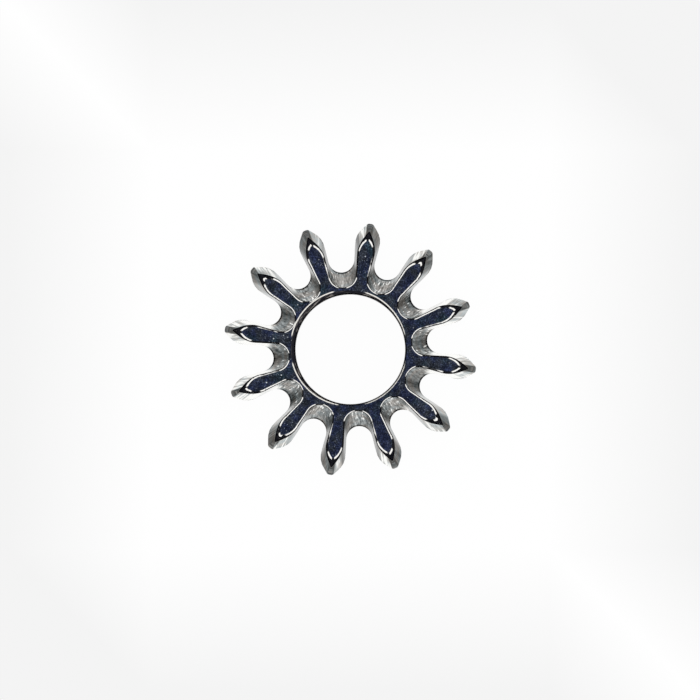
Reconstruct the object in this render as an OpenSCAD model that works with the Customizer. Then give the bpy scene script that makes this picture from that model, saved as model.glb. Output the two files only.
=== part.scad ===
// Setting wheel of a watch movement: one piece of hardened steel.
// A turned blank with a plain bore, and long pointed teeth cut by a form cutter.
// The wheel's axis is Z. The polished face is on top, and the origin is the middle of the bore.

/* [Blank] */
// Diameter over the crest of the teeth, the widest part of the wheel
crest_d = 2.55; // [2.46:0.01:2.64]
// Diameter over the tips of the teeth at the polished face, before that edge is rounded
face_tip_d = 2.35; // [2.28:0.01:2.42]
// Diameter over the teeth at the back face
back_tip_d = 2.08; // [1.9:0.01:2.2]
// Thickness of the wheel, from the polished face to the back face
thickness = 0.6; // [0.5:0.01:0.7]
// Depth of the crest below the polished face
crest_depth = 0.36; // [0.26:0.01:0.44]
// Radius that rounds the tips' edge at the polished face
tip_round = 0.09; // [0.04:0.01:0.12]

/* [Bore] */
// Diameter of the plain bore that turns on its post
bore_d = 1.1; // [1:0.01:1.12]
// Radius that rounds both mouths of the bore
bore_round = 0.045; // [0.02:0.005:0.05]

/* [Teeth] */
// Number of teeth
teeth = 12; // [11:1:13]
// Diameter at the bottom of the gaps, on the polished face
face_root_d = 1.23; // [1.21:0.01:1.3]
// Angle between the bottom of a gap and the wheel's axis, in degrees
root_lean = 15.4; // [8:0.1:18]
// Radius of the round bottom of a gap
gullet_r = 0.133; // [0.11:0.001:0.14]
// Angle of each side of a gap to its centre line, in degrees
side_angle = 8.8; // [6:0.1:10]
// Length of the straight side of a gap, from its round bottom to the head of the tooth
side_length = 0.19; // [0.16:0.001:0.21]
// Radius of the curved cheeks of a tooth's head
head_r = 0.25; // [0.22:0.01:0.28]
// Angle of the straight flanks that bring a head to its point, to the centre line of the gap
point_angle = 46.8; // [43:0.1:50]

/* [Hidden] */
$fn = 128;

// Faces of the wheel and the radii of its turned blank
face_z = thickness / 2;
back_z = -thickness / 2;
bore_r = bore_d / 2;
crest_r = crest_d / 2;
face_tip_r = face_tip_d / 2;
back_tip_r = back_tip_d / 2;
crest_z = face_z - crest_depth;

// Slope of the tips between the polished face and the crest
tip_lean = atan((crest_r - face_tip_r) / crest_depth);

// Centre of the tips' rounding, which touches the polished face and the sloping tips
tip_round_x = face_tip_r + tip_round * (tan(tip_lean) - 1 / cos(tip_lean));
tip_round_z = face_z - tip_round;

// Places in the cutter's own plane, square to its path: x runs outwards, y across the gap
gullet_x = face_root_d / 2 * cos(root_lean) + gullet_r;
side_start_x = gullet_x - gullet_r * sin(side_angle);
side_start_y = gullet_r * cos(side_angle);
head_start_x = side_start_x + side_length * cos(side_angle);
head_start_y = side_start_y + side_length * sin(side_angle);
head_x = head_start_x - head_r * sin(side_angle);
head_y = head_start_y + head_r * cos(side_angle);
point_start_x = head_x + head_r * sin(point_angle);
point_start_y = head_y - head_r * cos(point_angle);

// The cutter's profile runs past the crest, and its path past both faces
overrun = 0.1;
profile_end_x = crest_r + overrun;
profile_end_y = point_start_y + (profile_end_x - point_start_x) * tan(point_angle);
cut_below = (thickness + profile_end_x * sin(root_lean)) / cos(root_lean) + overrun;
cut_length = cut_below + overrun;

// Half section of the turned blank, with the tips' edge and both mouths of the bore rounded
module blank_section() {
    difference() {
        union() {
            polygon([
                [bore_r, back_z],
                [back_tip_r, back_z],
                [crest_r, crest_z],
                [tip_round_x + tip_round * cos(tip_lean), tip_round_z + tip_round * sin(tip_lean)],
                [tip_round_x, face_z],
                [bore_r, face_z]
            ]);
            translate([tip_round_x, tip_round_z]) circle(r = tip_round);
        }
        bore_mouth_section();
        mirror([0, 1]) bore_mouth_section();
    }
}

// Corner that the bore's rounding takes off at one face
module bore_mouth_section() {
    difference() {
        translate([bore_r - bore_round, face_z - bore_round]) square(2 * bore_round);
        translate([bore_r + bore_round, face_z - bore_round]) circle(r = bore_round);
        translate([bore_r + bore_round, face_z - bore_round]) square(2 * bore_round);
    }
}

module blank() {
    rotate_extrude() blank_section();
}

// Shape of the form cutter: a round bottom, drafted sides, and a mouth that flares past the heads
module gap_profile() {
    translate([gullet_x, 0]) circle(r = gullet_r);
    polygon([
        [side_start_x, -side_start_y],
        [head_start_x, -head_start_y],
        [head_start_x, head_start_y],
        [side_start_x, side_start_y]
    ]);
    difference() {
        polygon([
            [head_start_x, -head_start_y],
            [point_start_x, -point_start_y],
            [profile_end_x, -profile_end_y],
            [profile_end_x, profile_end_y],
            [point_start_x, point_start_y],
            [head_start_x, head_start_y]
        ]);
        for (side = [-1, 1]) translate([head_x, side * head_y]) circle(r = head_r);
    }
}

// One pass of the cutter, which sinks towards the axis as it nears the polished face
module gap() {
    translate([0, 0, face_z])
        rotate([0, -root_lean, 0])
            translate([0, 0, -cut_below])
                linear_extrude(height = cut_length) gap_profile();
}

module setting_wheel() {
    color("#3a4252")
        difference() {
            blank();
            for (i = [0 : teeth - 1]) rotate((i + 0.5) * 360 / teeth) gap();
        }
}

setting_wheel();
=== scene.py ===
"""Looks of the setting wheel: one finely modelled piece of cut and polished steel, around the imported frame.

Lengths are in millimetres until a mesh, a lamp or the camera is made, and Blender's metres after that.
The wheel is worked out from one half tooth: from the middle of a gap to the middle of the tooth beside it.
"""

import functools
import math

import bmesh
import bpy
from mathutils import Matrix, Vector


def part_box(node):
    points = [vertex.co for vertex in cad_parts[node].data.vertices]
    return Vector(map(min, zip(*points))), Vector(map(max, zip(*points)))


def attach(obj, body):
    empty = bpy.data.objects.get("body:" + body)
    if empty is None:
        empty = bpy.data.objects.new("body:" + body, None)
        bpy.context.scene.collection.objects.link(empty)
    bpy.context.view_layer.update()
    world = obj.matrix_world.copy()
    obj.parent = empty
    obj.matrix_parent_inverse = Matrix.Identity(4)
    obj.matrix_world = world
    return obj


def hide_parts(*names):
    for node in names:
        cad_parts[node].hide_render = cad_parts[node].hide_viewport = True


MM = 0.001
TURN = 2 * math.pi

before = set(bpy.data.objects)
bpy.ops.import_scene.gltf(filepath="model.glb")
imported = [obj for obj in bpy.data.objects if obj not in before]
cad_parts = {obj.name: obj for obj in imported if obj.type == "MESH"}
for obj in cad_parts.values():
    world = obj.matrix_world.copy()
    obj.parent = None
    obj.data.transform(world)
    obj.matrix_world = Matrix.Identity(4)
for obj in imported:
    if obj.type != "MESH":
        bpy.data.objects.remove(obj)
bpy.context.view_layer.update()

# The turned blank, which takes its width and thickness from the frame
low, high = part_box("setting_wheel")
CREST_R = high.x / MM
FACE_Z = high.z / MM
BACK_Z = low.z / MM
THICKNESS = FACE_Z - BACK_Z
CREST_DEPTH = 0.36
FACE_TIP_R = 1.175
BACK_TIP_R = 1.04
CREST_SOFTNESS = 0.004
BORE_R = 0.55
BORE_ROUND = 0.045
RING_R = BORE_R + BORE_ROUND

# The form cutter's profile and the slope of its path
TEETH = 12
HALF_PITCH = TURN / TEETH / 2
FACE_ROOT_R = 0.615
LEAN = math.radians(15.4)
GULLET_R = 0.133
GULLET_X = FACE_ROOT_R * math.cos(LEAN) + GULLET_R
SIDE_ANGLE = math.radians(8.8)
SIDE_LENGTH = 0.19
HEAD_R = 0.25
POINT_ANGLE = math.radians(46.8)
GULLET_RUN = GULLET_R * (math.pi / 2 - SIDE_ANGLE)
HEAD_RUN = HEAD_R * (POINT_ANGLE - SIDE_ANGLE)
SIDE_START = (GULLET_X - GULLET_R * math.sin(SIDE_ANGLE), GULLET_R * math.cos(SIDE_ANGLE))
HEAD_START = (
    SIDE_START[0] + SIDE_LENGTH * math.cos(SIDE_ANGLE),
    SIDE_START[1] + SIDE_LENGTH * math.sin(SIDE_ANGLE),
)
HEAD_CENTRE = (
    HEAD_START[0] - HEAD_R * math.sin(SIDE_ANGLE),
    HEAD_START[1] + HEAD_R * math.cos(SIDE_ANGLE),
)
POINT_START = (
    HEAD_CENTRE[0] + HEAD_R * math.sin(POINT_ANGLE),
    HEAD_CENTRE[1] - HEAD_R * math.cos(POINT_ANGLE),
)
HEAD_START_RUN = GULLET_RUN + SIDE_LENGTH
POINT_START_RUN = HEAD_START_RUN + HEAD_RUN
FLARE_LENGTH = 0.5
LONGEST_RUN = POINT_START_RUN + FLARE_LENGTH

# The worn edge of the polished face: narrow along the gaps, and wide and deep over the tips
GULLET_EDGE_WIDTH = 0.005
SHANK_EDGE_WIDTH = 0.014
HEAD_EDGE_WIDTH = 0.019
EDGE_DEPTH = 0.022
TIP_EDGE_DEPTH = 0.05
TIP_EDGE_START_R = 1.04
TIP_EDGE_END_R = 1.14
OGIVE_R = 0.171
OGIVE_FROM_AXIS = 0.97
OGIVE_ACROSS = 0.105
OGIVE_TURN = math.acos(OGIVE_ACROSS / OGIVE_R)
APEX_ROUND = 0.004
APEX_HALF_WIDTH = 0.029
# Widths of the painted highlight line along the worn edge, from the gaps out to the tips
GULLET_LINE_WIDTH = 0.0075
SHANK_LINE_WIDTH = 0.0105
HEAD_LINE_WIDTH = 0.013
TIP_LINE_WIDTH = 0.0155
# Where the bore's painted highlight line lies: a circle a little off the bore's centre, never nearer than its
# least radius
BORE_LINE_R = 0.579
BORE_LINE_LEAST_R = 0.5635
BORE_LINE_HALF = 0.0055
BORE_LINE_AZIMUTH = math.radians(152.0)
BORE_LINE_OFFSET = 0.0256
BORE_LINE_CENTRE = (
    BORE_LINE_OFFSET * math.cos(BORE_LINE_AZIMUTH),
    BORE_LINE_OFFSET * math.sin(BORE_LINE_AZIMUTH),
)
CORNER = 0.02
CORNER_SHARE = 0.6
BACK_EDGE = 0.012

# Shades that several finishes share, and the power that turns a wall's brightness into its colour
WHITE = (1.0, 1.0, 1.0, 1.0)
BLACK = (0.0, 0.0, 0.0, 1.0)
WALL_POWER = 1.6

# How far apart two gaps lie on the map of marks
RUN_STEP = 3.0

# How finely the half tooth is divided, and how its points are found and joined
GULLET_STEPS = 14
FLANK_STEPS = 34
CORNER_STEPS = 4
LAND_STEPS = 3
EDGE_STEPS = 8
FACE_ROWS = (1.0, 0.5, 0.08)
FACE_ROW_END = 0.02
FRONT_ROWS = (0.12, 0.25, 0.38, 0.5, 0.62, 0.74, 0.84, 0.91, 0.955, 0.98, 0.993, 1.0)
BEHIND_ROWS = (0.015, 0.04, 0.09, 0.18, 0.32, 0.5, 0.7, 0.85, 1.0)
BACK_EDGE_STEPS = 3
BORE_ROUND_STEPS = 7
BORE_WALL_STEPS = 4
EVEN_SHARE = 0.1
HALVINGS = 50
WELD_DISTANCE = 1e-8

# The picture: seven millimetres across the polished face, with the wheel turned a little to the right
PICTURE_TURN = math.radians(9.225)
PICTURE_WIDTH = 7.0
PICTURE_PIXELS = 700
PIXEL = PICTURE_WIDTH / PICTURE_PIXELS
WHEEL_RIGHT = 0.35 * PIXEL
WHEEL_UP = 0.65 * PIXEL
LENS = 500.0
SENSOR = 36.0

# The floor: an even white square under the wheel, and past it a slight fall of brightness a millimetre,
# which fades out again further off
FLOOR_R = 250.0
FLOOR_SIDES = 96
FLOOR_GAP = 0.0005
EVEN_HALF = 2.0
FALL_OFF = 0.066
LARGEST_FALL = 0.096
FALL_FADES = (5.0, 10.0)
GLOW_SHARE = 0.97


def smooth(value, start, end):
    """0 before start, 1 after end, and a soft step between them."""
    t = min(1.0, max(0.0, (value - start) / (end - start)))
    return t * t * (3 - 2 * t)


def turned(point, angle):
    """A point of the plane turned about the wheel's axis."""
    x, y = point
    return (
        x * math.cos(angle) - y * math.sin(angle),
        x * math.sin(angle) + y * math.cos(angle),
    )


def between(a, b, share):
    """The point that lies this share of the way from a to b."""
    return tuple(p + (q - p) * share for p, q in zip(a, b))


def blank_radius(depth):
    """Radius of the turned blank: a cone out to the soft crest, and a bevel back in behind it."""
    front = FACE_TIP_R + (CREST_R - FACE_TIP_R) * depth / CREST_DEPTH
    behind = CREST_R - (CREST_R - BACK_TIP_R) * (depth - CREST_DEPTH) / (THICKNESS - CREST_DEPTH)
    nearer = min(front, behind)
    gap = abs(front - behind)
    return nearer + CREST_SOFTNESS * (math.log(2) - math.log1p(math.exp(-gap / CREST_SOFTNESS)))


def cutter_point(run):
    """Place on the cutter's profile at this distance from the middle of its round bottom."""
    if run < GULLET_RUN:
        angle = math.pi - run / GULLET_R
        return GULLET_X + GULLET_R * math.cos(angle), GULLET_R * math.sin(angle)
    run -= GULLET_RUN
    if run < SIDE_LENGTH:
        return between(SIDE_START, HEAD_START, run / SIDE_LENGTH)
    run -= SIDE_LENGTH
    if run < HEAD_RUN:
        angle = SIDE_ANGLE - math.pi / 2 + run / HEAD_R
        return HEAD_CENTRE[0] + HEAD_R * math.cos(angle), HEAD_CENTRE[1] + HEAD_R * math.sin(angle)
    run -= HEAD_RUN
    return POINT_START[0] + run * math.cos(POINT_ANGLE), POINT_START[1] + run * math.sin(POINT_ANGLE)


def gap_point(run, depth):
    """Where that place of the cutter passes the plane at this depth below the polished face."""
    x, y = cutter_point(run)
    return x / math.cos(LEAN) + depth * math.tan(LEAN), y


@functools.cache
def outline(depth):
    """Half a tooth's outline in the plane at this depth, as (x, y, run), with x through the gap's middle."""
    radius = blank_radius(depth)
    near, far = GULLET_RUN / 2, LONGEST_RUN
    for _ in range(HALVINGS):
        middle = (near + far) / 2
        if math.hypot(*gap_point(middle, depth)) < radius:
            near = middle
        else:
            far = middle
    end = near
    corner = gap_point(end, depth)
    corner_angle = math.atan2(corner[1], corner[0])
    land = (HALF_PITCH - corner_angle) * radius
    cut = min(CORNER, CORNER_SHARE * land)
    points = []
    for i in range(GULLET_STEPS):
        run = GULLET_RUN * i / GULLET_STEPS
        points.append((*gap_point(run, depth), run))
    for i in range(FLANK_STEPS + 1):
        run = GULLET_RUN + (end - cut - GULLET_RUN) * i / FLANK_STEPS
        points.append((*gap_point(run, depth), run))
    start = points[-1][:2]
    stop_angle = corner_angle + cut / radius
    stop = (radius * math.cos(stop_angle), radius * math.sin(stop_angle))
    for i in range(1, CORNER_STEPS + 1):
        t = i / CORNER_STEPS
        bend = between(between(start, corner, t), between(corner, stop, t), t)
        points.append((*bend, end + cut * (2 * t - 1)))
    for i in range(1, LAND_STEPS + 1):
        angle = stop_angle + (HALF_PITCH - stop_angle) * i / LAND_STEPS
        run = end + (angle - corner_angle) * radius
        points.append((radius * math.cos(angle), radius * math.sin(angle), run))
    return points


def inset(points, j, distance):
    """Point j of an outline, moved square to it into the steel."""
    before = points[j - 1] if j else (points[1][0], -points[1][1])
    after = points[j + 1] if j + 1 < len(points) else points[j]
    dx, dy = after[0] - before[0], after[1] - before[1]
    length = math.hypot(dx, dy)
    return points[j][0] - dy / length * distance, points[j][1] + dx / length * distance


def face_edge():
    """Edge of the flat face: a little inside the outline beside a gap, and a pointed arch in each head."""
    points = outline(0.0)
    reach = [turned(p[:2], -HALF_PITCH)[0] for p in points]
    first = next(j for j, r in enumerate(reach) if r > OGIVE_FROM_AXIS)
    gone = [0.0]
    for j in range(first, len(points)):
        step = math.dist(points[j][:2], points[j - 1][:2])
        gone.append(gone[-1] + step)
    edge = []
    for j in range(first):
        run = points[j][2]
        width = GULLET_EDGE_WIDTH + (SHANK_EDGE_WIDTH - GULLET_EDGE_WIDTH) * smooth(run, 0.0, GULLET_RUN)
        width += (HEAD_EDGE_WIDTH - SHANK_EDGE_WIDTH) * smooth(run, GULLET_RUN, HEAD_START_RUN)
        edge.append(inset(points, j, width))
    apex_slope = OGIVE_ACROSS / math.sqrt(OGIVE_R ** 2 - OGIVE_ACROSS ** 2)
    for length in gone[1:]:
        angle = OGIVE_TURN * length / gone[-1]
        across = OGIVE_R * math.cos(angle) - OGIVE_ACROSS
        rounding = apex_slope * APEX_ROUND * math.exp(-across / APEX_ROUND)
        edge.append(turned((OGIVE_FROM_AXIS + OGIVE_R * math.sin(angle) - rounding, -across), HALF_PITCH))
    return edge


def middles(edge, tip_reach):
    """Where the flat face's rows run to: round the bore's mouth, and then out along the tooth's middle.

    The steps out along the middle follow those of the edge, and are evened out a little.
    """
    reach = [turned(p, -HALF_PITCH)[0] for p in edge]
    start, end, count = reach[GULLET_STEPS], reach[-1], len(edge) - 1 - GULLET_STEPS
    found = []
    for j, r in enumerate(reach):
        if j <= GULLET_STEPS:
            found.append(turned((RING_R, 0), HALF_PITCH * j / GULLET_STEPS))
        else:
            share = (1 - EVEN_SHARE) * (r - start) / (end - start) + EVEN_SHARE * (j - GULLET_STEPS) / count
            found.append(turned((RING_R + (tip_reach - RING_R) * share, 0), HALF_PITCH))
    return found


def half_tooth():
    """Rows of (x, y, depth, run, across) from the middle of the polished face to the middle of the back face.

    run is the way along the outline, and across the way outwards from the edge of the flat face.
    Each row also names the surface that lies between it and the row before.
    """
    near = outline(0.0)
    count = len(near)
    edge = face_edge()
    centre = middles(edge, turned(edge[-1], -HALF_PITCH)[0] - FACE_ROW_END)
    rows = []
    for share in FACE_ROWS:
        row = []
        for j in range(count):
            x, y = between(edge[j], centre[j], share)
            row.append((x, y, 0.0, near[j][2], -math.dist((x, y), edge[j])))
        rows.append(("face", row))
    edge_depth = []
    for j in range(count):
        reach = turned(near[j][:2], -HALF_PITCH)[0]
        tip = smooth(reach, TIP_EDGE_START_R, TIP_EDGE_END_R)
        edge_depth.append(EDGE_DEPTH + (TIP_EDGE_DEPTH - EDGE_DEPTH) * tip)
    for i in range(EDGE_STEPS + 1):
        angle = math.pi / 2 * i / EDGE_STEPS
        row = []
        for j in range(count):
            foot = outline(edge_depth[j])[j]
            x, y = between(edge[j], foot[:2], math.sin(angle))
            depth = edge_depth[j] * (1 - math.cos(angle))
            row.append((x, y, depth, foot[2], math.dist((x, y), edge[j])))
        rows.append(("edge" if i else "face", row))
    for share in FRONT_ROWS:
        row = []
        for j in range(count):
            depth = edge_depth[j] + (CREST_DEPTH - edge_depth[j]) * share
            x, y, run = outline(depth)[j]
            row.append((x, y, depth, run, depth))
        rows.append(("wall", row))
    back_start = THICKNESS - BACK_EDGE
    for share in BEHIND_ROWS:
        depth = CREST_DEPTH + (back_start - CREST_DEPTH) * share
        rows.append(("wall", [(x, y, depth, run, depth) for x, y, run in outline(depth)]))
    far = outline(back_start)
    far_edge = [inset(far, j, BACK_EDGE) for j in range(count)]
    far_edge[-1] = turned((math.hypot(*far_edge[-1]), 0), HALF_PITCH)
    for i in range(1, BACK_EDGE_STEPS + 1):
        angle = math.pi / 2 * i / BACK_EDGE_STEPS
        row = []
        for j in range(count):
            x, y = between(far_edge[j], far[j][:2], math.cos(angle))
            row.append((x, y, back_start + BACK_EDGE * math.sin(angle), far[j][2], 0.0))
        rows.append(("back_edge", row))
    centre = middles(far_edge, math.hypot(*far_edge[-1]) - FACE_ROW_END)
    for share in reversed(FACE_ROWS):
        row = []
        for j in range(count):
            x, y = between(far_edge[j], centre[j], share)
            row.append((x, y, THICKNESS, far[j][2], -math.dist((x, y), far_edge[j])))
        rows.append(("back", row))
    return rows


def half_bore():
    """Rows like those of half_tooth, from the polished face's mouth of the bore through to the other."""
    mouth = []
    for i in range(BORE_ROUND_STEPS + 1):
        angle = math.pi / 2 * i / BORE_ROUND_STEPS
        mouth.append((RING_R - BORE_ROUND * math.sin(angle), BORE_ROUND * (1 - math.cos(angle))))
    places = [("rim", radius, depth) for radius, depth in mouth]
    wall = THICKNESS - 2 * BORE_ROUND
    for i in range(1, BORE_WALL_STEPS + 1):
        places.append(("bore", BORE_R, BORE_ROUND + wall * i / BORE_WALL_STEPS))
    places += [("back_rim", radius, THICKNESS - depth) for radius, depth in reversed(mouth[:-1])]
    rows = []
    for surface, radius, depth in places:
        row = []
        for j in range(GULLET_STEPS + 1):
            turn = HALF_PITCH * j / GULLET_STEPS
            across = RING_R - radius
            row.append((radius * math.cos(turn), radius * math.sin(turn), depth, turn * BORE_R, across))
        rows.append((surface, row))
    return rows


# The mesh's materials in order, and the one that each surface takes
SLOTS = (
    "polished_face",
    "edge_wear_and_sheen",
    "cut_wall",
    "tip_land",
    "back_edge",
    "ground_back",
    "bore_mouth",
    "bore_wall",
)
SLOT_OF = {
    "face": "polished_face",
    "edge": "edge_wear_and_sheen",
    "wall": "cut_wall",
    "back_edge": "back_edge",
    "back": "ground_back",
    "rim": "bore_mouth",
    "bore": "bore_wall",
    "back_rim": "back_edge",
}

# From this point of an outline on, its wall has the finish of the tooth's land
LAND_FROM = GULLET_STEPS + FLANK_STEPS + 1


def wheel_mesh():
    """The whole wheel as one closed mesh, with its two maps: marks (run, depth) and edge (across, run)."""
    bm = bmesh.new()
    marks = bm.loops.layers.uv.new("marks")
    edges = bm.loops.layers.uv.new("edge")
    for gap in range(TEETH):
        middle = (2 * gap + 1) * HALF_PITCH
        for side in (1, -1):
            for rows in (half_tooth(), half_bore()):
                lay_rows(bm, rows, middle, side, gap, marks, edges)
    bmesh.ops.remove_doubles(bm, verts=bm.verts, dist=WELD_DISTANCE)
    bm.normal_update()
    mesh = bpy.data.meshes.new("setting_wheel_body")
    bm.to_mesh(mesh)
    bm.free()
    return mesh


def lay_rows(bm, rows, middle, side, gap, marks, edges):
    """Places one half of a gap and joins each of its rows to the next."""
    made = []
    for surface, row in rows:
        line = []
        for x, y, depth, run, across in row:
            x, y = turned((x, side * y), middle)
            vert = bm.verts.new((x * MM, y * MM, (FACE_Z - depth) * MM))
            along = side * run + RUN_STEP * gap
            line.append((vert, (along, depth), (across, along)))
        made.append((surface, line))
    bore = rows[0][0] == "rim"
    for (_, above), (surface, below) in zip(made, made[1:]):
        for j in range(len(above) - 1):
            corners = [above[j], above[j + 1], below[j + 1], below[j]]
            if (side > 0) != bore:
                corners.reverse()
            face = bm.faces.new([c[0] for c in corners])
            face.smooth = True
            slot = SLOT_OF[surface]
            if surface == "wall" and j >= LAND_FROM:
                slot = "tip_land"
            face.material_index = SLOTS.index(slot)
            for loop, corner in zip(face.loops, corners):
                loop[marks].uv = corner[1]
                loop[edges].uv = corner[2]


def linear(*parts):
    """A display colour, from 0 to 255 a part, as the linear values that Blender takes."""
    found = []
    for part in parts:
        share = part / 255
        found.append(share / 12.92 if share <= 0.04045 else ((share + 0.055) / 1.055) ** 2.4)
    return (*found, 1.0)


class Finish:
    """A material, and short ways to its nodes. Lengths in it are millimetres."""

    def __init__(self, name):
        self.material = bpy.data.materials.new(name)
        self.material.use_nodes = True
        self.tree = self.material.node_tree
        self.shader = self.tree.nodes["Principled BSDF"]
        place = self.node("ShaderNodeTexCoord")
        scaled = self.node("ShaderNodeVectorMath", operation="SCALE")
        scaled.inputs["Scale"].default_value = 1 / MM
        self.join(place.outputs["Object"], scaled.inputs[0])
        self.place = scaled.outputs[0]
        self.normal = place.outputs["Normal"]

    def node(self, kind, **settings):
        made = self.tree.nodes.new(kind)
        for name, value in settings.items():
            setattr(made, name, value)
        return made

    def join(self, value, socket):
        if isinstance(value, bpy.types.NodeSocket):
            self.tree.links.new(value, socket)
        else:
            socket.default_value = value

    def math(self, operation, a, b=0.0):
        made = self.node("ShaderNodeMath", operation=operation)
        self.join(a, made.inputs[0])
        self.join(b, made.inputs[1])
        return made.outputs[0]

    def add(self, first, *others):
        for other in others:
            first = self.math("ADD", first, other)
        return first

    def times(self, first, *others):
        for other in others:
            first = self.math("MULTIPLY", first, other)
        return first

    def less(self, a, b):
        return self.math("SUBTRACT", a, b)

    def around(self, noise, amount):
        """A noise's swing about zero, made this many times as wide."""
        return self.times(self.less(noise, 0.5), amount)

    def step(self, value, start, end, low=0.0, high=1.0):
        """low before start, high after end, and a soft step between them."""
        made = self.node("ShaderNodeMapRange", interpolation_type="SMOOTHSTEP")
        for socket, given in zip(made.inputs, (value, start, end, low, high)):
            self.join(given, socket)
        return made.outputs[0]

    def mix(self, share, a, b):
        made = self.node("ShaderNodeMix", data_type="RGBA")
        self.join(share, made.inputs[0])
        self.join(a, made.inputs[6])
        self.join(b, made.inputs[7])
        return made.outputs[2]

    def shaded(self, colour, factor):
        """A colour made this many times as bright."""
        made = self.node("ShaderNodeMix", data_type="RGBA", blend_type="MULTIPLY")
        made.inputs[0].default_value = 1.0
        self.join(colour, made.inputs[6])
        self.join(factor, made.inputs[7])
        return made.outputs[2]

    def grey(self, level, tint, power=2.2):
        """A colour of this brightness, from 0 to 1, in a tint."""
        return self.shaded(tint, self.math("POWER", self.math("MAXIMUM", level, 0.0), power))

    def vector(self, x, y, z=0.0):
        made = self.node("ShaderNodeCombineXYZ")
        for socket, given in zip(made.inputs, (x, y, z)):
            self.join(given, socket)
        return made.outputs[0]

    def parts(self, vector):
        made = self.node("ShaderNodeSeparateXYZ")
        self.join(vector, made.inputs[0])
        return made.outputs

    def uv(self, name):
        made = self.node("ShaderNodeUVMap", uv_map=name)
        return self.parts(made.outputs[0])

    def from_middle(self, along):
        """Distance along the outline from the middle of the nearest gap."""
        gap = self.math("ROUND", self.math("DIVIDE", along, RUN_STEP))
        return self.math("ABSOLUTE", self.less(along, self.times(gap, RUN_STEP)))

    def length(self, x, y):
        """Length of the vector that has these two parts."""
        made = self.node("ShaderNodeVectorMath", operation="LENGTH")
        self.join(self.vector(x, y), made.inputs[0])
        return made.outputs["Value"]

    def out_from(self, x, y):
        """Distance from an upright line through this point of the plane."""
        here = self.parts(self.place)
        return self.length(self.less(here[0], x), self.less(here[1], y))

    def on_tooth(self):
        """Place along and across the nearest tooth, and that tooth's azimuth."""
        x, y, _ = self.parts(self.place)
        azimuth = self.math("ARCTAN2", y, x)
        middle = self.times(self.math("ROUND", self.times(azimuth, 0.5 / HALF_PITCH)), 2 * HALF_PITCH)
        off = self.less(azimuth, middle)
        reach = self.length(x, y)
        return self.times(reach, self.math("COSINE", off)), self.times(reach, self.math("SINE", off)), middle

    def noise(self, vector, scale, detail=2.0, roughness=0.5, seed=0):
        made = self.node("ShaderNodeTexNoise", noise_dimensions="4D")
        self.join(vector, made.inputs["Vector"])
        made.inputs["W"].default_value = 7.0 * seed
        made.inputs["Scale"].default_value = scale
        made.inputs["Detail"].default_value = detail
        made.inputs["Roughness"].default_value = roughness
        return made.outputs["Fac"]

    def specks(self, scale, share, size, seed=0):
        """Small round specks of uneven strength, in this share of the cells. scale is cells a millimetre."""
        moved = self.node("ShaderNodeVectorMath", operation="ADD")
        self.join(self.place, moved.inputs[0])
        moved.inputs[1].default_value = (11.0 * seed, 7.0 * seed, 0.0)
        made = self.node("ShaderNodeTexVoronoi", voronoi_dimensions="2D")
        self.join(moved.outputs[0], made.inputs["Vector"])
        made.inputs["Scale"].default_value = scale
        chance, strength, _ = self.parts(made.outputs["Color"])
        chosen = self.math("GREATER_THAN", chance, 1 - share)
        strength = self.step(strength, 0.0, 1.0, 0.25, 1.0)
        return self.times(chosen, strength, self.step(made.outputs["Distance"], size, size / 3))

    def azimuth(self, vector):
        """Angle of a vector, seen from above, from the picture's own right."""
        x, y, _ = self.parts(vector)
        return self.less(self.math("ARCTAN2", y, x), PICTURE_TURN)

    def bump(self, height, distance):
        made = self.node("ShaderNodeBump")
        made.inputs["Distance"].default_value = distance * MM
        self.join(height, made.inputs["Height"])
        self.join(made.outputs[0], self.shader.inputs["Normal"])

    def finish(self, colour, roughness, edge_tint):
        self.join(colour, self.shader.inputs["Base Color"])
        self.join(roughness, self.shader.inputs["Roughness"])
        self.join(edge_tint, self.shader.inputs["Specular Tint"])
        self.shader.inputs["Metallic"].default_value = 1.0
        return self.material


# Colours of the polished face and its edges, as they show on a display. The navy is a painted dark
# reflection. The edge's and the bore's bright lines are painted highlights, and the near black beside them is
# painted dark reflection, a little worn in places.
NAVY = linear(34, 40, 61)
GREYER_NAVY = linear(43, 47, 55)
TEAL = linear(37, 50, 60)
SCRATCH = linear(120, 128, 140)
BRIGHT_SPECK = linear(210, 216, 220)
EDGE_HIGHLIGHT = linear(255, 254, 250)
EDGE_DARK_REFLECTION = linear(13, 14, 18)
EDGE_DARK_WORN = linear(34, 34, 39)
EDGE_SPECK = linear(140, 138, 134)
BORE_HIGHLIGHT = linear(242, 239, 232)
BORE_DARK_REFLECTION = linear(30, 30, 36)
BORE_WEAR_AND_SHEEN = linear(140, 135, 131)

# Tints of the cut, turned and ground steel
COLD = linear(248, 254, 255)
WARM = linear(255, 252, 248)
# The tint of the walls where their painted light is brightest
BRIGHT = linear(255, 255, 253)
LAND_COLD = linear(243, 254, 255)
LAND_WARM = linear(255, 251, 243)
PLAIN_STEEL = linear(250, 252, 255)
BURR_DARK = linear(60, 62, 66)
BURR_PALE = linear(120, 122, 124)

# Where a gap's wall changes: along the outline from the gap's middle, and down from the polished face
GULLET_END = (0.195, 0.29)
POINT_FROM = (0.47, 0.5)
FAR_RIM = (0.51, 0.565)

# Where a flank is painted in shade towards the land: aside from the tooth's middle, and out from the wheel's
# axis
NEAR_LAND = (0.04, 0.026)
NEAR_TIP = (1.1, 1.14)

# Where the worn edge's painted highlight line widens, out from the wheel's axis
HEAD_LINE_FROM = (0.9, 1.0)
TIP_LINE_FROM = (1.02, 1.1)


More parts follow.
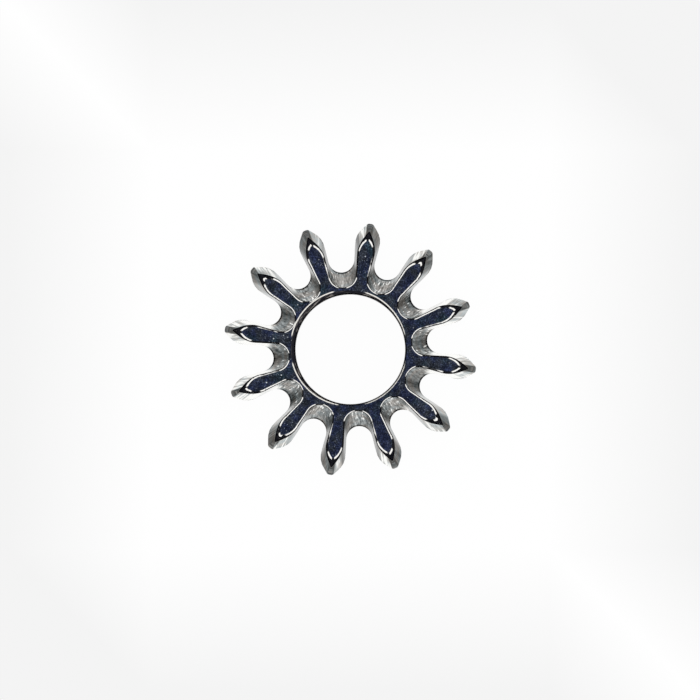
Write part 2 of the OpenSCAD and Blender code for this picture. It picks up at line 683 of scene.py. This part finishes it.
def navy(f):
    """The polished face's dark blue, painted to stand in for the dark reflection the polished steel shows
    from above: patches of hue, hazy clouds, pale specks and short scratches.
    """
    hue = f.noise(f.place, 12.0, 2.0, 0.5, seed=1)
    teal = f.noise(f.place, 5.0, 2.0, seed=13)
    cloud = f.noise(f.place, 14.0, 3.0, 0.6, seed=2)
    grain = f.noise(f.place, 74.0, 2.0, 0.6, seed=3)
    colour = f.mix(f.step(hue, 0.38, 0.64), NAVY, GREYER_NAVY)
    colour = f.mix(f.step(teal, 0.52, 0.7), colour, TEAL)
    stops = f.add(f.step(grain, 0.36, 0.76, -0.85, 1.85), f.around(cloud, 4.6))
    colour = f.shaded(colour, f.math("POWER", 2.0, stops))
    x, y, _ = f.parts(f.place)
    lengthwise = f.add(f.times(x, 6.0), f.times(y, 9.0))
    crosswise = f.add(f.times(x, 50.0), f.times(y, -33.0))
    scratches = f.step(f.noise(f.vector(lengthwise, crosswise), 1.0, 1.0, seed=4), 0.68, 0.75)
    colour = f.mix(f.times(scratches, 0.7), colour, SCRATCH)
    crowd = f.step(f.noise(f.place, 2.8, 1.0, seed=14), 0.4, 0.58, 0.15, 1.3)
    colour = f.mix(f.times(f.specks(22.0, 0.08, 0.19, seed=5), crowd), colour, BRIGHT_SPECK)
    return f.mix(f.times(f.specks(42.0, 0.2, 0.25, seed=6), crowd), colour, SCRATCH)


def seen_line(f, azimuth, wander):
    """Where a worn edge that faces this way shines: the light leaves it dark along the picture's two axes."""
    slant = f.math("ABSOLUTE", f.math("SINE", f.times(azimuth, 2.0)))
    return f.step(f.add(slant, f.around(wander, 0.7)), 0.4, 0.6)


def round_bore(f, colour):
    """A colour with the bore's painted highlight line and its dark inner border over it, a little off the
    bore's centre. The border is a painted dark reflection, with pale streaks that are part wear and part
    painted sheen.
    """
    crumbs = f.noise(f.place, 70.0, 2.0, seed=11)
    wander = f.noise(f.place, 7.0, 2.0, seed=12)
    azimuth = f.azimuth(f.place)
    radius = f.out_from(0.0, 0.0)
    away = f.less(f.out_from(*BORE_LINE_CENTRE), BORE_LINE_R)
    away = f.math("MINIMUM", away, f.less(radius, BORE_LINE_LEAST_R))
    seen = seen_line(f, azimuth, wander)
    streaks = f.noise(f.vector(f.times(azimuth, 6.0), f.times(radius, 70.0)), 1.0, 2.0, seed=13)
    worn = f.times(f.step(streaks, 0.48, 0.68), f.step(seen, 0.0, 1.0, 0.2, 1.0))
    dark = f.mix(worn, BORE_DARK_REFLECTION, BORE_WEAR_AND_SHEEN)
    colour = f.mix(f.step(away, -0.003, -0.009), colour, dark)
    half = f.add(BORE_LINE_HALF, f.around(crumbs, 0.006), f.step(seen, 0.0, 1.0, -0.003, 0.0))
    line = f.step(f.less(f.math("ABSOLUTE", away), half), 0.002, -0.002)
    line = f.times(line, seen, f.step(crumbs, 0.3, 0.42, 0.45, 1.0))
    return f.mix(line, colour, BORE_HIGHLIGHT)


def polished_face():
    """The flat face: polished steel, a little hazy, painted navy for the dark reflection it shows from above,
    with the bore's line round its mouth.
    """
    f = Finish("polished_face")
    f.bump(f.noise(f.place, 80.0, 2.0, 0.7, seed=3), 0.001)
    cloud = f.noise(f.place, 8.0, 2.0, seed=2)
    return f.finish(round_bore(f, navy(f)), f.step(cloud, 0.3, 0.7, 0.2, 0.34), WHITE)


def edge_wear_and_sheen():
    """The rounded edge of the flat face: a broken bright line along it, a painted highlight, and near black
    outside that line, a painted dark reflection with worn crumbs and specks in it.
    """
    f = Finish("edge_wear_and_sheen")
    across, along, _ = f.uv("edge")
    wander = f.noise(f.vector(along, 0.0), 9.0, 2.0)
    crumbs = f.noise(f.place, 60.0, 2.0)
    reach, aside, middle = f.on_tooth()
    side = f.math("ABSOLUTE", aside)
    past = f.less(reach, OGIVE_FROM_AXIS)
    in_head = f.math("GREATER_THAN", past, 0.0)
    from_arch = f.less(f.length(past, f.add(side, OGIVE_ACROSS)), OGIVE_R)
    across = f.add(across, f.times(f.less(from_arch, across), in_head))
    turn = f.times(f.math("ARCTAN2", f.add(side, OGIVE_ACROSS), past), f.step(side, 0.0, APEX_HALF_WIDTH))
    arch_azimuth = f.less(f.add(middle, f.times(turn, f.math("SIGN", aside))), PICTURE_TURN)
    beside_azimuth = f.azimuth(f.normal)
    azimuth = f.add(beside_azimuth, f.times(f.less(arch_azimuth, beside_azimuth), in_head))
    seen = seen_line(f, azimuth, wander)
    width = f.step(f.from_middle(along), 0.0, GULLET_RUN, GULLET_LINE_WIDTH, SHANK_LINE_WIDTH)
    width = f.add(width, f.step(reach, *HEAD_LINE_FROM, 0.0, HEAD_LINE_WIDTH - SHANK_LINE_WIDTH))
    width = f.add(width, f.step(reach, *TIP_LINE_FROM, 0.0, TIP_LINE_WIDTH - HEAD_LINE_WIDTH))
    width = f.add(width, f.step(seen, 0.0, 1.0, -0.005, 0.0), f.around(wander, 0.006), f.around(crumbs, 0.01))
    line = f.times(f.step(across, -0.001, 0.001), f.step(f.less(across, width), 0.0015, -0.0015))
    line = f.times(line, seen, f.step(crumbs, 0.3, 0.42, 0.35, 1.0))
    dark = f.mix(f.step(crumbs, 0.3, 0.7), EDGE_DARK_REFLECTION, EDGE_DARK_WORN)
    dark = f.mix(f.specks(45.0, 0.14, 0.25, seed=7), dark, EDGE_SPECK)
    return f.finish(round_bore(f, f.mix(line, dark, EDGE_HIGHLIGHT)), 0.22, BLACK)


def cut_wall():
    """The cut walls of the gaps: streaks from face to face, grey in the gullets and bright on the flanks.

    A level from 0 to 1 is worked out for the gullet, the flank and the flank's straight part at the point.
    It is painted light: the level is brighter where the wall faces the picture's top or bottom, where the
    steel shows the most light, and darker where it faces the sides.
    """
    f = Finish("cut_wall")
    run, depth, _ = f.uv("marks")
    out = f.from_middle(run)
    azimuth = f.azimuth(f.normal)
    side = f.math("ABSOLUTE", f.math("SINE", azimuth))
    slant = f.math("SINE", f.times(azimuth, 2.0))
    on_flank = f.step(f.add(out, f.times(depth, 0.25)), *GULLET_END)
    in_point = f.step(out, *POINT_FROM)
    grain = f.noise(f.vector(run, f.times(depth, 0.12)), 54.0, 1.5, 0.6, seed=1)
    ridges = f.noise(f.vector(run, f.times(depth, 0.06)), 22.0, 2.0, 0.6, seed=2)
    bands = f.noise(f.vector(run, f.times(depth, 0.04)), 46.0, 1.0, seed=3)
    blotch = f.noise(f.place, 8.0, 3.0, 0.6, seed=4)
    place = f.noise(f.place, 1.6, 1.0, seed=5)
    rough = f.add(f.around(grain, 1.0), f.around(ridges, 0.5))
    # Painted light: gullet, flank and point are brighter the more they face the picture's top or bottom, and
    # the gullet a little by the slant
    gullet = f.add(0.39, f.times(side, 0.27), f.times(slant, -0.03), f.around(blotch, 0.2))
    gullet = f.add(gullet, f.times(rough, f.add(0.22, f.times(side, 0.68))))
    # Painted glints: short bright streaks in patches, most on the walls that face the light; and painted
    # shade making the gullet a little lighter near the face and darker deeper down
    streaks = f.noise(f.vector(run, f.times(depth, 0.1)), 60.0, 1.0, seed=7)
    sparks = f.times(f.step(streaks, 0.58, 0.66), f.step(blotch, 0.42, 0.52))
    sparks = f.times(sparks, f.step(place, 0.4, 0.55), f.add(side, 0.15))
    gullet = f.add(gullet, f.times(sparks, 0.9), f.step(depth, 0.1, 0.4, 0.02, -0.02))
    flank = f.add(0.5, f.step(side, 0.35, 0.6, 0.0, 0.22), f.step(side, 0.8, 0.95, 0.0, 0.34))
    point = f.add(0.5, f.step(side, 0.28, 0.62, 0.0, 0.34), f.step(side, 0.85, 0.97, 0.0, 0.06))
    point = f.add(point, f.times(f.around(place, 0.9), f.step(side, 0.5, 0.9)))
    uneven = f.times(rough, f.step(side, 0.8, 0.95, 0.12, 0.36))
    flank = f.add(flank, f.times(f.less(point, flank), in_point), uneven, f.around(blotch, 0.15))
    # Bands along the lit flanks' points: machining streaks that show only as painted reflections, bright and
    # dark
    bright = f.step(side, 0.4, 0.7, 0.25, 1.0)
    lines = f.times(in_point, bright, f.step(place, 0.4, 0.6, 0.3, 1.0))
    flank = f.add(flank, f.times(lines, f.step(bands, 0.48, 0.6, -0.16, 0.24)))
    # Painted shade on the flank beside the land, near the tip, least where the flank faces the light most
    reach, aside, _ = f.on_tooth()
    land_shade = f.times(f.step(f.math("ABSOLUTE", aside), *NEAR_LAND), f.step(reach, *NEAR_TIP))
    land_shade = f.times(land_shade, f.step(side, 0.99, 0.93, 0.2, 1.0))
    flank = f.add(flank, f.times(f.less(0.42, flank), land_shade))
    level = f.add(gullet, f.times(f.less(flank, gullet), on_flank))
    far_shade = f.add(0.46, f.step(out, 0.08, 0.15, 0.0, 0.26), f.around(ridges, 0.8))
    far_shade = f.add(far_shade, f.times(on_flank, f.step(side, 0.8, 0.95, 0.0, 0.3)))
    level = f.times(level, f.step(depth, *FAR_RIM, 1.0, far_shade))
    level = f.math("MINIMUM", f.math("MAXIMUM", level, 0.12), 1.0)
    hue = f.noise(f.place, 6.5, 2.0, seed=6)
    tint = f.mix(f.step(hue, 0.38, 0.62), COLD, WARM)
    tint = f.mix(f.step(level, 0.75, 1.0), tint, BRIGHT)
    colour = f.grey(level, tint, WALL_POWER)
    f.bump(f.times(f.add(grain, ridges), f.less(1.0, on_flank)), 0.003)
    roughness = f.step(on_flank, 0.0, 1.0, f.step(ridges, 0.3, 0.7, 0.26, 0.42), 0.15)
    return f.finish(colour, roughness, colour)


def tip_land():
    """The narrow land at a tooth's tip: fine turned lines round the wheel, and darker near the face."""
    f = Finish("tip_land")
    _, depth, _ = f.uv("marks")
    x, y, z = f.parts(f.place)
    blotch = f.noise(f.vector(f.times(x, 0.5), f.times(y, 0.5), z), 17.0, 1.5)
    hue = f.noise(f.place, 11.0, 2.0, seed=6)
    turning = f.noise(f.vector(f.times(x, 0.08), f.times(y, 0.08), z), 34.0, 3.0, 0.6)
    level = f.add(0.29, f.step(depth, 0.05, 0.16, 0.0, 0.12), f.around(blotch, 0.7), f.around(turning, 0.9))
    colour = f.grey(level, f.mix(f.step(hue, 0.38, 0.62), LAND_COLD, LAND_WARM))
    f.bump(turning, 0.002)
    return f.finish(colour, 0.33, f.mix(0.5, colour, WHITE))


def back_edge():
    """The small rounded edges at the back face."""
    f = Finish("back_edge")
    crumbs = f.noise(f.place, 40.0, 2.0)
    return f.finish(f.mix(crumbs, BURR_DARK, BURR_PALE), 0.35, WHITE)


def ground_back():
    """The back face, ground in straight lines."""
    f = Finish("ground_back")
    x, y, _ = f.parts(f.place)
    lines = f.noise(f.vector(f.times(x, 0.06), y), 60.0, 4.0, 0.65)
    cloud = f.noise(f.place, 6.0, 2.0)
    level = f.add(0.5, f.around(lines, 0.35), f.around(cloud, 0.25))
    f.bump(lines, 0.002)
    return f.finish(f.grey(level, PLAIN_STEEL), 0.4, WHITE)


def bore_mouth():
    """The bore's rounded mouth in the polished face."""
    f = Finish("bore_mouth")
    return f.finish(round_bore(f, navy(f)), 0.25, BLACK)


def bore_wall():
    """The bore's straight wall, with fine turned rings."""
    f = Finish("bore_wall")
    _, _, z = f.parts(f.place)
    rings = f.noise(f.vector(z, 0.0), 50.0, 3.0)
    level = f.add(0.5, f.around(rings, 0.3))
    f.bump(rings, 0.002)
    return f.finish(f.grey(level, PLAIN_STEEL), 0.3, WHITE)


def setting_wheel():
    """The wheel in place of its plain solid."""
    wheel = bpy.data.objects.new("setting_wheel_body", wheel_mesh())
    bpy.context.scene.collection.objects.link(wheel)
    for make in (polished_face, edge_wear_and_sheen, cut_wall, tip_land, back_edge, ground_back, bore_mouth, bore_wall):
        wheel.data.materials.append(make())
    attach(wheel, "root")
    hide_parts("setting_wheel")
    return wheel


def floor():
    """A pale floor, white to the camera and the steel but for a faint shadow, and clear from below.

    It is turned with the picture, whose white falls off a little towards two of its corners.
    """
    height = (BACK_Z - FLOOR_GAP) * MM
    bpy.ops.mesh.primitive_circle_add(
        vertices=FLOOR_SIDES, radius=FLOOR_R * MM, fill_type="NGON", location=(0, 0, height)
    )
    disc = bpy.context.object
    disc.name = "floor"
    disc.rotation_euler.z = PICTURE_TURN
    f = Finish("floor_white")
    past = []
    for value in f.parts(f.place)[:2]:
        held = f.math("MINIMUM", f.math("MAXIMUM", value, -EVEN_HALF), EVEN_HALF)
        past.append(f.less(value, held))
    fall = f.times(f.math("ABSOLUTE", f.add(*past)), FALL_OFF)
    fades = f.step(f.out_from(0.0, 0.0), *FALL_FADES, 1.0, 0.0)
    fall = f.times(f.math("MINIMUM", fall, LARGEST_FALL), fades)
    level = f.less(1.0, fall)
    diffuse = f.node("ShaderNodeBsdfDiffuse")
    f.join(level, diffuse.inputs["Color"])
    glow = f.node("ShaderNodeEmission")
    f.join(level, glow.inputs["Color"])
    path = f.node("ShaderNodeLightPath")
    seen = f.math("MAXIMUM", path.outputs["Is Camera Ray"], path.outputs["Is Glossy Ray"])
    seen = f.math("MAXIMUM", seen, path.outputs["Is Transmission Ray"])
    above = f.node("ShaderNodeMixShader")
    f.join(f.times(seen, GLOW_SHARE), above.inputs[0])
    f.join(diffuse.outputs[0], above.inputs[1])
    f.join(glow.outputs[0], above.inputs[2])
    clear = f.node("ShaderNodeBsdfTransparent")
    both = f.node("ShaderNodeMixShader")
    f.join(f.node("ShaderNodeNewGeometry").outputs["Backfacing"], both.inputs[0])
    f.join(above.outputs[0], both.inputs[1])
    f.join(clear.outputs[0], both.inputs[2])
    f.tree.nodes.remove(f.shader)
    f.join(both.outputs[0], f.tree.nodes["Material Output"].inputs["Surface"])
    disc.data.materials.append(f.material)


def lights():
    """An even white sky."""
    world = bpy.data.worlds.new("studio")
    bpy.context.scene.world = world
    world.use_nodes = True
    sky = world.node_tree.nodes["Background"]
    sky.inputs["Color"].default_value = (1, 1, 1, 1)
    sky.inputs["Strength"].default_value = 1.0


def camera():
    """Straight above the polished face, turned so that the wheel stands as in the picture."""
    lens = bpy.data.cameras.new("camera")
    lens.lens = LENS
    lens.sensor_width = SENSOR
    lens.clip_start = MM
    eye = bpy.data.objects.new("camera", lens)
    bpy.context.scene.collection.objects.link(eye)
    away = PICTURE_WIDTH * LENS / SENSOR
    x, y = turned((-WHEEL_RIGHT, -WHEEL_UP), PICTURE_TURN)
    eye.location = Vector((x, y, FACE_Z + away)) * MM
    eye.rotation_euler = (0, 0, PICTURE_TURN)
    bpy.context.scene.camera = eye


setting_wheel()
floor()
lights()
camera()
bpy.context.scene.view_settings.view_transform = "Standard"
